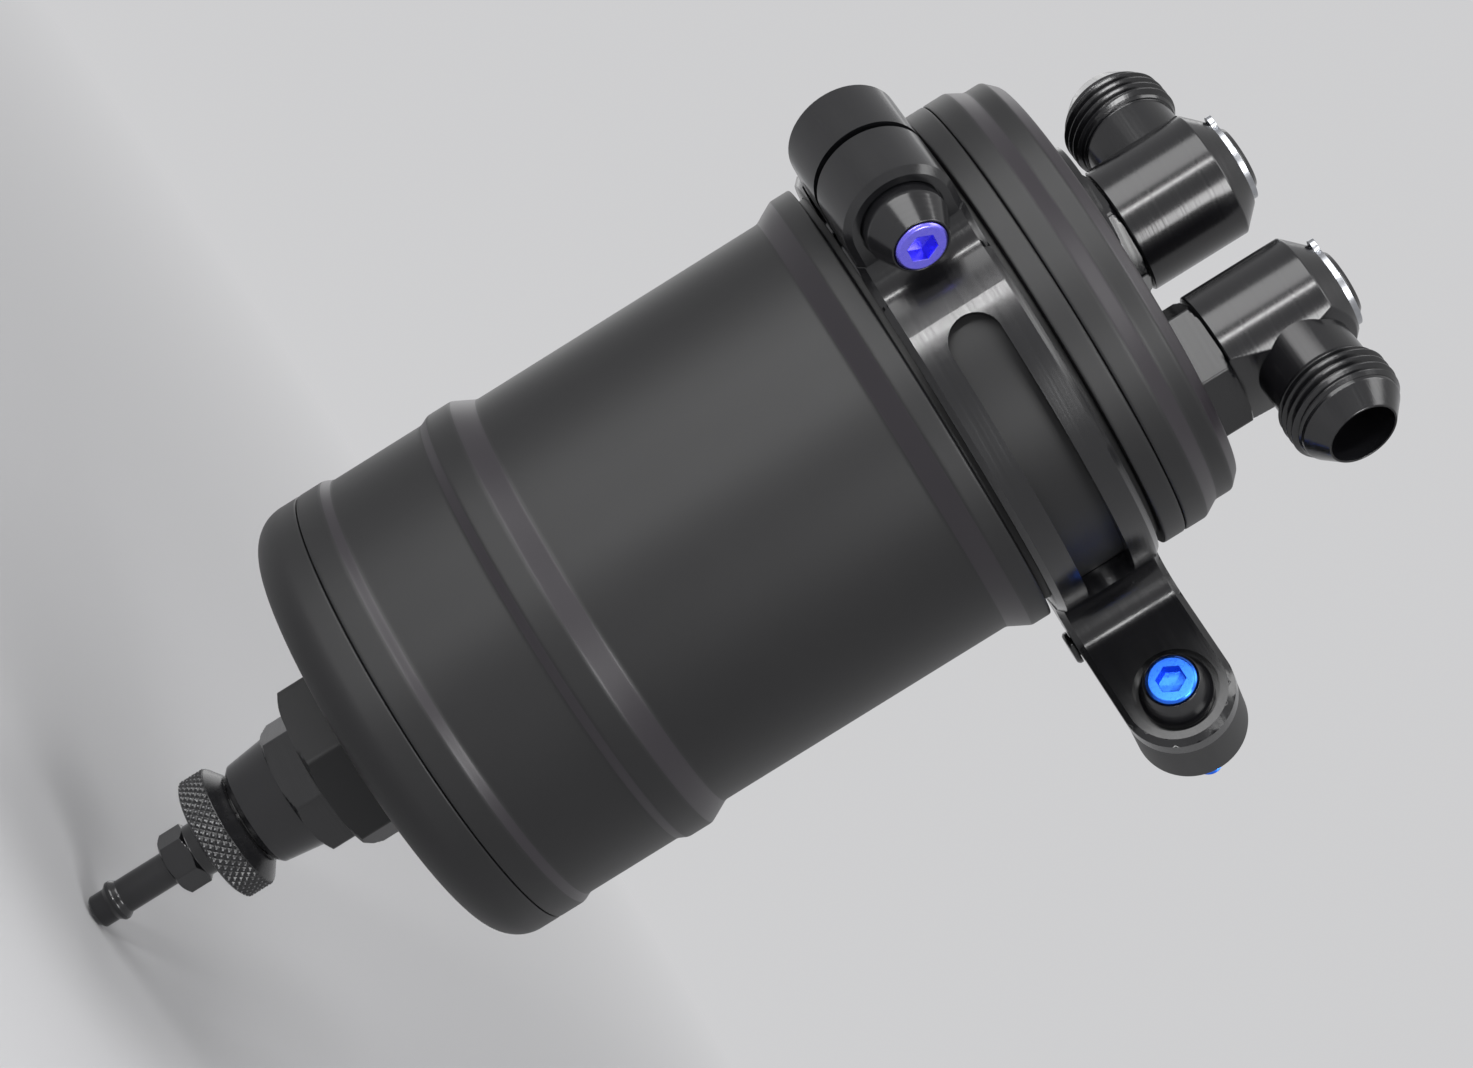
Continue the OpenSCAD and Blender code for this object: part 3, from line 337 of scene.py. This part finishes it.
for node, turn, corner in (("port_stem_a", 139.5, 45), ("port_stem_b", 19.5, 8)):
    stem = placed(turned(stem_outline, 360, 0.0242, corner), port(turn))
    shown(woven(node + "_piece", [stem], 30), fitting_black, "can", "fitting_black", node)
nodes["port_plug"].data.materials.clear()
nodes["port_plug"].data.materials.append(fitting_black)


# The two elbows. Each is turned about its upright axis, faced off, then turned again about
# the flare's axis, where the hose thread is cut. They swivel on the stems under a circlip.
FLARE_RISE = 0.0082 + 0.0128
FLARE_SIDES = 200
FLARE_BORE = 0.0065
FLARE_END = 0.0315
LAND_END = FLARE_END - 0.0031 / tan(radians(37))
THREAD_START = 0.0186
THREAD_STOP = 0.02675


def thread_rows(start, stop, radius, depth, pitch, step, sides, turn=0.0):
    """Rows of a screw thread along Z: at angle a and height z the radius drops from the
    crest by depth times a flat-topped triangle wave of z / pitch minus a / full turn."""
    z = np.arange(start, stop, step)[:, None]
    a = np.linspace(0, 2 * pi, sides, endpoint=False)[None, :]
    wave = np.abs((z / pitch - a / (2 * pi) + turn) % 1.0 - 0.5) * 2
    drop = np.clip((wave - 0.12) / 0.80, 0, 1) * depth
    run_out = np.clip((z - start) / (0.9 * pitch), 0, 1)
    lead_in = np.clip((stop - z) / (0.7 * pitch), 0, 1)
    crest = radius - depth + depth * np.minimum(run_out, lead_in)
    r = np.minimum(radius - drop, crest)
    return np.stack([r * np.cos(a), r * np.sin(a), z * np.ones_like(a)], -1)


def faced(grid, apex, slope):
    """The turned barrel, cut off by a cone about X: at each point the radius r is the
    largest, up to its own, for which r cos a + slope times the distance from X is at most
    apex. It is found by halving the range twenty-four times."""
    full = np.hypot(grid[..., 0], grid[..., 1])
    cosine, sine, z = grid[..., 0] / full, grid[..., 1] / full, grid[..., 2]
    low, high = np.zeros_like(full), full.copy()
    for _ in range(24):
        r = (low + high) / 2
        inside = r * cosine + slope * np.hypot(r * sine, z) <= apex
        low, high = np.where(inside, r, low), np.where(inside, high, r)
    r = np.where(full * cosine + slope * np.hypot(full * sine, z) <= apex, full, low)
    return np.stack([r * cosine, r * sine, z], -1)


def elbow(name, port_turn, direction):
    """The faced barrel with its bore, and the flare with a true thread. The barrel's faces
    inside the flare's bore are left out, so that the bore is open."""
    across = np.array([cos(radians(direction)), sin(radians(direction)), 0.0])
    middle = port(port_turn) + (0, 0, FLARE_RISE)
    barrel_outline = stepped(rounded([
        (0.00705, 0.0121), (0.00705, -0.0128), (0.0130, -0.0128), (0.0133, -0.0125),
        (0.0133, 0.0081), (0.0093, 0.0121), (0.00705, 0.0121)], 0.0002), 0.0003)
    neck_outline = rounded([(0.0096, 0.0090), (0.0096, 0.0185), (0.0100, THREAD_START)], 0.0003)
    nose_outline = rounded([
        (0.00998, THREAD_STOP), (0.00995, 0.02690), (0.00995, LAND_END), (0.00685, FLARE_END),
        (FLARE_BORE, FLARE_END), (FLARE_BORE, 0.0070)], 0.00018)
    thread = thread_rows(
        THREAD_START, THREAD_STOP, 0.0111, 0.00112, 0.001814, 0.00006, FLARE_SIDES, 0.15)
    parts = [
        (placed(faced(turned(barrel_outline, 300), 0.0131, 0.26), middle, UP, across), 30),
        (placed(turned(neck_outline, FLARE_SIDES), middle, across, UP), 40),
        (placed(thread, middle, across, UP), 180),
        (placed(turned(nose_outline, FLARE_SIDES), middle, across, UP), 40)]
    b = bmesh.new()
    for grid, crease in parts:
        b.from_mesh(woven(name + "_part", [grid], crease))
    centre, way = Vector(middle), Vector(across)
    bore = [f for f in b.faces if all(
        (v.co - centre).cross(way).length < FLARE_BORE - 0.0001
        and (v.co - centre).dot(way) > 0.005 for v in f.verts)]
    bmesh.ops.delete(b, geom=bore, context="FACES")
    mesh = bpy.data.meshes.new(name)
    b.to_mesh(mesh)
    b.free()
    return mesh


elbow_a_black = polished_black("elbow_a_black", (0.05, 0.05, 1.0), 1700.0)
elbow_b_black = polished_black("elbow_b_black", (0.05, 0.05, 1.0), 1700.0)
elbow_a = elbow("elbow_a_piece", 139.5, 171.5)
elbow_b = elbow("elbow_b_piece", 19.5, -8.5)
shown(elbow_a, elbow_a_black, "elbow_a", "fitting_black", "elbow_a")
shown(elbow_b, elbow_b_black, "elbow_b", "fitting_black", "elbow_b")


# The circlips that hold the elbows on their stems. Spring steel, stamped and bright.
def bright_steel():
    """Stamped spring steel: bright, with a soft cloudy tarnish."""
    f = Finish("bright_steel", Metallic=1.0)
    cloud = f.noise(f.place(), 420.0, 2.0)
    return f.wear(f.blend(cloud, (0.28, 0.29, 0.31, 1), (0.46, 0.47, 0.49, 1)), 0.24 + 0.12 * cloud)


steel = bright_steel()
for node in ("circlip_a", "circlip_b"):
    edged(node, 0.00008, steel, "spring_steel")


# The bracket. Two halves of a milled band, hinged at the right and closed by the clamp
# barrel's screw at the front. Machined aluminium, polished and anodised black.
band_black = polished_black("band_black", (0.02, 0.02, 1.0), 1300.0)
for node in ("front_band", "rear_band"):
    edged(node, 0.00018, band_black, "bracket_black")
pin_low = -0.01115
pin_outline = [
    (0.0, pin_low - 0.0012), (0.0029, pin_low - 0.0012), (0.0034, pin_low - 0.0007),
    (0.0034, pin_low),
    (0.0020, pin_low), (0.0020, 0.0108), (0.0, 0.0108)]
pin_grid = placed(turned(rounded(pin_outline, 0.0002), 64), AXIS + (0.0405, 0.0415, 0))
shown(woven("hinge_pin", [pin_grid]), band_black, "can", "bracket_black", "hinge_pin")


# The cone washers, the spacers and the screws. The washers are polished black, the spacers
# blasted like the can. The clamp's screw is anodised violet, the bracket's two sky blue.
BARREL_TURN = radians(257.3)
BARREL_OUT = np.array([cos(BARREL_TURN), sin(BARREL_TURN), 0.0])
BARREL_ALONG = np.array([-sin(BARREL_TURN), cos(BARREL_TURN), 0.0])
BARREL_FACE = AXIS + 0.0562 * BARREL_OUT + 0.01355 * BARREL_ALONG
HEAD_RADIUS = 0.0049
HEAD_HEIGHT = 0.0060
SOCKET_FLATS = 0.0050


def cone_washer(foot, tip, collar, rise):
    """A turned cone round the screw's head, with a straight collar at its foot."""
    top = collar + rise
    return turned(rounded([
        (0.00325, 0.0), (foot, 0.0), (foot, collar), (tip, top), (HEAD_RADIUS + 0.00015, top),
        (HEAD_RADIUS + 0.00015, top - HEAD_HEIGHT + 0.0006), (0.00325, top - HEAD_HEIGHT + 0.0006),
        (0.00325, 0.0)], 0.0003), 120)


def socket_screw(length, plain):
    """A socket screw that points down -Z from its head's face at zero. Rows run from the
    socket's floor up its hexagon wall, over the head and down the plain and threaded shank."""
    sides = 120
    a = np.linspace(0, 2 * pi, sides, endpoint=False)
    hexagon = SOCKET_FLATS / 2 / np.cos((a + pi / 6) % (pi / 3) - pi / 6)
    rim = np.full(sides, 0.0)
    rows = [(rim, -0.0034), (hexagon, -0.0030), (hexagon, -0.0029), (hexagon, -0.0001),
            (hexagon + 0.0001, 0.0)]
    socket = np.stack([
        np.stack([r * np.cos(a), r * np.sin(a), np.full(sides, z)], -1) for r, z in rows])
    head = turned(rounded([
        (0.0034, 0.0), (HEAD_RADIUS - 0.0005, 0.0), (HEAD_RADIUS, -0.0005),
        (HEAD_RADIUS, -HEAD_HEIGHT),
        (0.0030, -HEAD_HEIGHT), (0.0030, -HEAD_HEIGHT - plain)], 0.0002), sides)
    tip = -HEAD_HEIGHT - length
    shank = thread_rows(0.0, length - plain - 0.0006, 0.0029, 0.0005, 0.001, 0.0000625, sides)
    shank = shank[::-1] + (0, 0, tip + 0.0004)
    end = turned([(0.0023, tip + 0.0003), (0.0021, tip), (0.0, tip)], sides)
    return np.concatenate([socket, head, shank, end])


def tinted(name, low, high):
    """Colour-anodised aluminium: bright metal in one hue, with a faint grain."""
    f = Finish(name, Metallic=1.0)
    fine = f.noise(f.place(), 1500.0, 3.0)
    return f.wear(f.blend(fine, low, high), 0.22 + 0.14 * fine, fine, 0.3, 8e-6)


clamp_black = polished_black("clamp_washer_black", tuple(BARREL_ALONG), 1700.0)
lug_black = polished_black("lug_washer_black", (0.0, 1.0, 0.0), 1700.0)
violet = tinted("violet_anodised", (0.170, 0.150, 0.93, 1), (0.270, 0.240, 1.0, 1))
sky = tinted("sky_anodised", (0.020, 0.120, 0.82, 1), (0.050, 0.230, 0.97, 1))
clamp_washer = placed(
    cone_washer(0.0076, 0.0054, 0.0036, 0.0054), BARREL_FACE - 0.001 * BARREL_ALONG,
    BARREL_ALONG, UP)
shown(woven("clamp_washer", [clamp_washer]), clamp_black, "can", "bracket_black", "clamp_washer")
clamp_screw = placed(
    socket_screw(0.024, 0.020), BARREL_FACE + 0.0086 * BARREL_ALONG, BARREL_ALONG, UP)
shown(woven("clamp_screw", [clamp_screw]), violet, "can", "violet_anodised", "clamp_screw")

lugs = [np.array([side * 0.0622, -0.0525, 0.0]) for side in (-1, 1)]
out = (0, -1, 0)
lug_washer = cone_washer(0.0071, 0.0054, 0.0020, 0.0050)
washers = [placed(lug_washer, lug + (0, 0.0365, 0), out, UP) for lug in lugs]
shown(woven("bracket_washers", washers), lug_black, "can", "bracket_black", "bracket_washers")
screws = [placed(socket_screw(0.040, 0.018), lug + (0, 0.0289, 0), out, UP) for lug in lugs]
shown(woven("bracket_screws", screws), sky, "can", "violet_anodised", "bracket_screws")
spacer_outline = rounded([
    (0.00325, 0.0), (0.0110, 0.0), (0.0110, 0.0130), (0.0105, 0.0135), (0.00325, 0.0135),
    (0.00325, 0.0)], 0.0003)
spacer = turned(spacer_outline, 160)
spacers = [placed(spacer, lug + (0, 0.0390, 0), (0, 1, 0), UP) for lug in lugs]
shown(woven("spacers", spacers), matt_black, "can", "matte_black", "spacers")


# The drain. A large hexagon adapter under the cap holds the valve's body, a hexagon with a
# tapered barrel. Blasted above, polished below.
adapter_outline = stepped(rounded([
    (0.0029, -0.0040), (0.0029, -0.0132), (0.0056, -0.0132), (0.0056, -0.0167),
    (0.0077, -0.0167), (0.0077, -0.0237), (0.016575, -0.0237), (0.018575, -0.0225),
    (0.018575, -0.0117), (0.0075, -0.0117), (0.0075, -0.0040), (0.0029, -0.0040)],
    0.00025), 0.0008)
adapter = placed(turned(adapter_outline, 360, 0.0320, 291), AXIS + (0, 0, SEAM))
adapter_mesh = woven("drain_adapter_piece", [adapter], 30)
shown(adapter_mesh, matt_black, "can", "matte_black", "drain_adapter")
valve_outline = stepped(rounded([
    (0.0056, -0.0172), (0.0056, -0.0261), (0.0036, -0.0261), (0.0036, -0.0326), (0.00545, -0.0326),
    (0.00545, -0.0445), (0.0080, -0.0445), (0.0080, -0.0403), (0.0094, -0.0403), (0.0106, -0.0391),
    (0.0117, -0.0306), (0.01227, -0.0306), (0.01407, -0.02952), (0.01407, -0.0237),
    (0.0076, -0.0237), (0.0076, -0.0172), (0.0056, -0.0172)], 0.0002), 0.0006)
valve = placed(turned(valve_outline, 360, 0.0242, 313.5), AXIS + (0, 0, SEAM))
shown(woven("valve_body_piece", [valve], 30), fitting_black, "can", "fitting_black", "valve_body")


# The knurled wheel that opens the drain. Turned aluminium with a diamond knurl rolled into
# its rim, anodised black. Every tip is painted bright grey, a painted highlight for its glint.
WHEEL_BOTTOM = SEAM - 0.0490
WHEEL_RADIUS = 0.0128


def knurled_rows(low, high, radius, depth, count, step, sides):
    """Rows of a diamond knurl: the radius drops by depth times the larger of two triangle
    waves between 0 and 1, of which one slants left round the rim and one right."""
    z = np.arange(low, high, step)[:, None]
    a = np.linspace(0, 2 * pi, sides, endpoint=False)[None, :]
    round_it = a / (2 * pi) * count
    along = z * count / (2 * pi * radius)
    left = np.abs((round_it + along) % 1.0 - 0.5) * 2
    right = np.abs((round_it - along) % 1.0 - 0.5) * 2
    drop = np.maximum(left, right) * depth
    r = radius - drop
    return np.stack([r * np.cos(a), r * np.sin(a), z * np.ones_like(a)], -1)


def knurled_black():
    """Anodised knurl: black, with the tips painted a bright grey as a painted highlight for the
    glints on the knurl's facets. The tips are the points furthest from the can's axis."""
    f = Finish("knurled_black", Specular_IOR_Level=0.5)
    place = f.place()
    off_axis = f.vector("SUBTRACT", place, tuple(AXIS), "Vector")
    flat = f.vector("MULTIPLY", off_axis, (1, 1, 0), "Vector")
    radius = f.node("ShaderNodeVectorMath", {"operation": "LENGTH"}, {0: flat}, output="Value")
    # Mask of the painted highlight: bright grey where the radius nears the knurl's crests.
    tip = (radius - (WHEEL_RADIUS - 0.00017)) / 0.00013
    fine = f.noise(place, 900.0, 2.0)
    colour = f.blend(fine, (0.008, 0.008, 0.009, 1), (0.015, 0.015, 0.016, 1))
    return f.wear(f.blend(tip, colour, (0.22, 0.22, 0.23, 1)), 0.20 + 0.12 * fine)


wheel_sides = 576
foot = turned(rounded([
    (0.00545, 0.0042), (0.00545, 0.0), (0.0118, 0.0), (0.0123, 0.0004), (0.0123, 0.00049)],
    0.0002), wheel_sides)
knurl = knurled_rows(0.0005, 0.0056, WHEEL_RADIUS, 0.00048, 48, 0.000105, wheel_sides)
crown = turned(rounded([
    (0.0123, 0.00561), (0.0123, 0.0058), (0.0093, 0.0081), (0.00805, 0.0081),
    (0.00805, 0.0042), (0.00545, 0.0042)], 0.00025), wheel_sides)
wheel_grid = placed(np.concatenate([foot, knurl, crown]), AXIS + (0, 0, WHEEL_BOTTOM))
wheel_mesh = woven("drain_wheel", [wheel_grid], 60)
shown(wheel_mesh, knurled_black(), "drain_wheel", "knurled_black", "drain_wheel")


# The outlet. Hexagon and hose tail with its bead, turned in one piece with the sliding
# collar inside the valve. The wheel winds it up and down.
outlet_outline = stepped(rounded([
    (0.0, -0.0398), (0.0020, -0.0398), (0.0020, -0.0753), (0.0028, -0.0753), (0.0033, -0.0748),
    (0.0033, -0.0719), (0.0041, -0.0709), (0.0041, -0.0701), (0.0034, -0.0691),
    (0.0034, -0.0581), (0.005251, -0.0581), (0.006451, -0.05738), (0.006451, -0.05322),
    (0.0054, -0.05259), (0.0054, -0.0378), (0.0024, -0.0378), (0.0024, -0.0260),
    (0.0, -0.0260)], 0.00018), 0.0004)
outlet = placed(turned(outlet_outline, 240, 0.0110, 324), AXIS + (0, 0, SEAM))
outlet_mesh = woven("drain_outlet_piece", [outlet], 30)
shown(outlet_mesh, fitting_black, "drain_outlet", "fitting_black", "drain_outlet")


# What the can holds inside: baffle, mesh pad, drop tube, poppet, spring and seals. They keep
# their CAD shapes.
def inner(name, low, high, rough, metal, scale):
    """A plain metal or rubber surface with a fine grain."""
    f = Finish(name, Metallic=metal)
    grain = f.noise(f.place(), scale, 3.0)
    return f.wear(f.blend(grain, low, high), rough + 0.15 * grain, grain, 0.15, 1e-5)


inner_finishes = {
    "plain_aluminium": inner(
        "plain_aluminium", (0.55, 0.56, 0.57, 1), (0.72, 0.73, 0.74, 1), 0.3, 1.0, 900.0),
    "wire_mesh": inner(
        "wire_mesh", (0.12, 0.12, 0.13, 1), (0.60, 0.60, 0.62, 1), 0.4, 1.0, 1400.0),
    "turned_brass": inner(
        "turned_brass", (0.55, 0.40, 0.16, 1), (0.72, 0.56, 0.26, 1), 0.28, 1.0, 1200.0),
    "seal_rubber": inner(
        "seal_rubber", (0.012, 0.012, 0.012, 1), (0.022, 0.022, 0.022, 1), 0.6, 0.0, 2200.0),
    "spring_wire": inner(
        "spring_wire", (0.55, 0.56, 0.58, 1), (0.75, 0.76, 0.78, 1), 0.25, 1.0, 1600.0)}
inner_nodes = {
    "baffle_plate": "plain_aluminium", "drop_tube": "plain_aluminium", "mesh_pad": "wire_mesh",
    "valve_poppet": "turned_brass", "valve_spring": "spring_wire", "cap_seal": "seal_rubber",
    "lid_seal": "seal_rubber", "stem_seals": "seal_rubber", "post_seals": "seal_rubber",
    "adapter_seal": "seal_rubber"}
for node, finish in inner_nodes.items():
    nodes[node].data.materials.clear()
    nodes[node].data.materials.append(inner_finishes[finish])


# The studio: a pale floor below the hose tail that curves up far behind into a pale wall,
# and soft boxes round the can. The far wall is seen at one even tone, also in reflections.
PALE = (0.62, 0.62, 0.63, 1)


def stage_finish():
    """A matt pale paint near the can, which takes its shadow. Further off the camera and
    reflections see the paint's own tone, whatever light falls there."""
    f = Finish("pale_floor", Roughness=1.0, Specular_IOR_Level=0.0, Emission_Strength=1.0)
    length = {"operation": "LENGTH"}
    distance = f.node("ShaderNodeVectorMath", length, {0: f.place()}, output="Value")
    far = distance.math("MULTIPLY_ADD", distance, 2.2, -0.55)
    near = distance.math("MINIMUM", distance.math("MAXIMUM", far, 0.0), 1.0)
    camera_ray = f.node("ShaderNodeLightPath", output="Is Camera Ray")
    seen = camera_ray + f.node("ShaderNodeLightPath", output="Is Glossy Ray")
    glow = seen * near
    f.feed(f.shader.inputs["Emission Color"], f.blend(glow, (0, 0, 0, 1), PALE))
    return f.wear(f.blend(glow, (0.50, 0.50, 0.51, 1), (0, 0, 0, 1)))


bend = np.linspace(0, pi / 2, 40)
bowl = [(0.0, 0.0), (0.3, 0.0), (1.2, 0.0)]
bowl += [(1.2 + 2.0 * sin(a), 2.0 - 2.0 * cos(a)) for a in bend[1:]] + [(3.2, 3.5)]
floor_grid = placed(turned(bowl, 96), (0, 0, -0.1965))
floor = bpy.data.objects.new("floor", woven("floor", [floor_grid]))
floor.data.materials.append(stage_finish())
bpy.context.scene.collection.objects.link(floor)

world = bpy.data.worlds.new("studio")
bpy.context.scene.world = world
world.use_nodes = True
world.node_tree.nodes["Background"].inputs["Color"].default_value = (1.0, 1.0, 1.0, 1)
world.node_tree.nodes["Background"].inputs["Strength"].default_value = 0.6


def soft_box(name, azimuth, height, distance, width, tall, radiance):
    """A rectangular lamp of the given brightness, which faces the can's middle from the
    given azimuth. Its power is brightness times area times pi."""
    lamp = bpy.data.lights.new(name, "AREA")
    lamp.shape = "RECTANGLE"
    lamp.size = width
    lamp.size_y = tall
    lamp.energy = radiance * width * tall * pi
    box = bpy.data.objects.new(name, lamp)
    a = radians(azimuth)
    box.location = (distance * sin(a), -0.0525 - distance * cos(a), height)
    aim = Vector((0, -0.0525, 0)) - box.location
    box.rotation_euler = aim.to_track_quat("-Z", "Y").to_euler()
    bpy.context.scene.collection.objects.link(box)


soft_box("main_box", -26, 0.05, 1.0, 0.70, 1.3, 3.9)
soft_box("strip_box", 8, 0.05, 1.0, 0.06, 1.3, 28.0)
soft_box("elbow_box", 60, 0.21, 0.55, 0.22, 0.22, 12.0)
soft_box("left_box", -122, 0.05, 1.0, 0.40, 1.2, 1.0)
soft_box("top_box", 30, 1.0, 0.25, 0.6, 0.6, 4.0)


# The camera stands as in the photograph: almost level with the can, rolled so that the can
# lies across the picture.
PHOTO_WIDTH = 1473
FOCAL_PIXELS = 3175.35
SENSOR_WIDTH = 36.0
EYE = (0.2986, -0.5697, -0.03324)
camera = bpy.data.objects.new("camera", bpy.data.cameras.new("camera"))
bpy.context.scene.collection.objects.link(camera)
bpy.context.scene.camera = camera
camera.data.sensor_width = SENSOR_WIDTH
camera.data.lens = FOCAL_PIXELS / PHOTO_WIDTH * SENSOR_WIDTH
camera.data.clip_start = 0.01
forward = Vector((-0.4954, 0.8679, -0.0357)).normalized()
right = forward.cross(Vector(UP)).normalized()
above = right.cross(forward)
roll = radians(0.845)
can_up = cos(roll) * above + sin(roll) * right
can_side = cos(roll) * right - sin(roll) * above
tilt = radians(31)
image_x = cos(tilt) * can_up + sin(tilt) * can_side
image_y = sin(tilt) * can_up - cos(tilt) * can_side
turn = np.eye(4)
turn[:3, 0], turn[:3, 1], turn[:3, 2], turn[:3, 3] = image_x, image_y, -forward, EYE
camera.matrix_world = Matrix(turn.tolist())

bpy.context.scene.view_settings.view_transform = "Standard"
